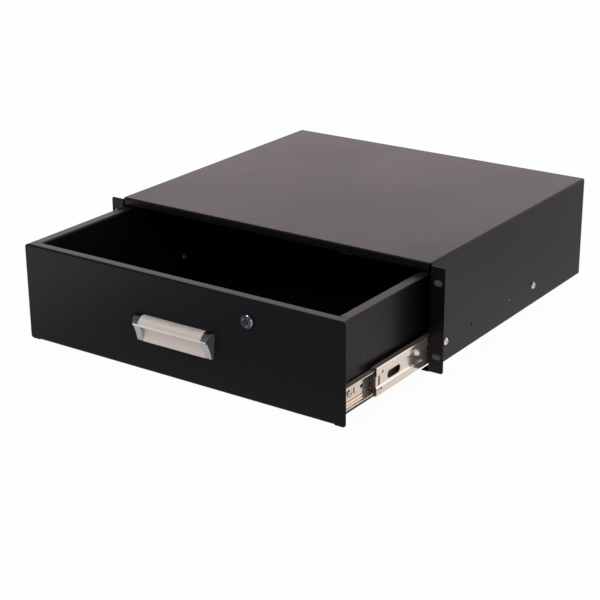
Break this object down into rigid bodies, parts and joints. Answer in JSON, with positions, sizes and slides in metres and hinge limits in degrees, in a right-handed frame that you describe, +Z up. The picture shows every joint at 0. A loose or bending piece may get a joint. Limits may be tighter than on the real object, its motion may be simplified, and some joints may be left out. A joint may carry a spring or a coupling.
{
  "type": "sliding rack drawer",
  "caption": "Lockable black steel rack drawer that slides out of its cabinet on ball-bearing runners, with a satin pull handle and slotted rack ears.",
  "frame": {"origin": "centre of the four rack slots, on the front face of the ears", "axes": "+X to the right seen from the front, +Y to the rear of the cabinet, +Z up; the drawer slides out along -Y"},
  "size_m": [0.4826, 0.5789, 0.1312],
  "materials": {
    "black_coat": "satin black powder coat",
    "zinc_steel": "bright zinc plate",
    "satin_aluminium": "satin champagne anodised",
    "chrome": "polished chrome",
    "ball_steel": "polished steel",
    "black_plastic": "moulded black plastic",
    "cage_plastic": "moulded natural plastic"
  },
  "bodies": {
    "cabinet": {"cabinet_shell": "black_coat", "rear_panel": "black_coat", "lock_strike": "zinc_steel", "cabinet_member_left": "zinc_steel", "cabinet_member_right": "zinc_steel", "cabinet_screws_left": "zinc_steel", "cabinet_screws_right": "zinc_steel"},
    "drawer": {"drawer_tray": "black_coat", "tray_side_left": "black_coat", "tray_side_right": "black_coat", "tray_front_wall": "black_coat", "tray_rear_wall": "black_coat", "front_panel": "black_coat", "handle_grip": "satin_aluminium", "handle_cap_left": "chrome", "handle_cap_right": "chrome", "handle_screws": "zinc_steel", "lock_housing": "chrome", "lock_nut": "zinc_steel", "drawer_member_left": "zinc_steel", "drawer_member_right": "zinc_steel", "drawer_screws_left": "zinc_steel", "drawer_screws_right": "zinc_steel"},
    "lock": {"lock_plug": "chrome", "lock_cam": "zinc_steel", "cam_screw": "zinc_steel"},
    "middle_left": {"middle_member_left": "zinc_steel", "middle_bumper_left": "black_plastic"},
    "outer_bearing_left": {"outer_cage_left": "cage_plastic", "outer_balls_left": "ball_steel"},
    "inner_bearing_left": {"inner_cage_left": "cage_plastic", "inner_balls_left": "ball_steel"},
    "middle_right": {"middle_member_right": "zinc_steel", "middle_bumper_right": "black_plastic"},
    "outer_bearing_right": {"outer_cage_right": "cage_plastic", "outer_balls_right": "ball_steel"},
    "inner_bearing_right": {"inner_cage_right": "cage_plastic", "inner_balls_right": "ball_steel"}
  },
  "joints": [
    {"name": "drawer_slide", "type": "slide", "parent": "cabinet", "child": "drawer", "axis": [0, -1, 0], "range_m": [-0.172, 0.168]},
    {"name": "lock_turn", "type": "hinge", "parent": "drawer", "child": "lock", "pos_m": [0.0995, -0.1742, 0.0278], "axis": [0, 1, 0], "range_deg": [0, 90]},
    {"name": "middle_slide_left", "type": "slide", "parent": "cabinet", "child": "middle_left", "axis": [0, -1, 0], "range_m": [-0.1085, 0.1059]},
    {"name": "outer_bearing_slide_left", "type": "slide", "parent": "cabinet", "child": "outer_bearing_left", "axis": [0, -1, 0], "range_m": [-0.0543, 0.053]},
    {"name": "inner_bearing_slide_left", "type": "slide", "parent": "cabinet", "child": "inner_bearing_left", "axis": [0, -1, 0], "range_m": [-0.1403, 0.137]},
    {"name": "middle_slide_right", "type": "slide", "parent": "cabinet", "child": "middle_right", "axis": [0, -1, 0], "range_m": [-0.1085, 0.1059]},
    {"name": "outer_bearing_slide_right", "type": "slide", "parent": "cabinet", "child": "outer_bearing_right", "axis": [0, -1, 0], "range_m": [-0.0543, 0.053]},
    {"name": "inner_bearing_slide_right", "type": "slide", "parent": "cabinet", "child": "inner_bearing_right", "axis": [0, -1, 0], "range_m": [-0.1403, 0.137]}
  ],
  "couplings": [
    {"joint": "middle_slide_left", "follows": "drawer_slide", "ratio": 0.63},
    {"joint": "outer_bearing_slide_left", "follows": "drawer_slide", "ratio": 0.315},
    {"joint": "inner_bearing_slide_left", "follows": "drawer_slide", "ratio": 0.815},
    {"joint": "middle_slide_right", "follows": "drawer_slide", "ratio": 0.63},
    {"joint": "outer_bearing_slide_right", "follows": "drawer_slide", "ratio": 0.315},
    {"joint": "inner_bearing_slide_right", "follows": "drawer_slide", "ratio": 0.815}
  ]
}
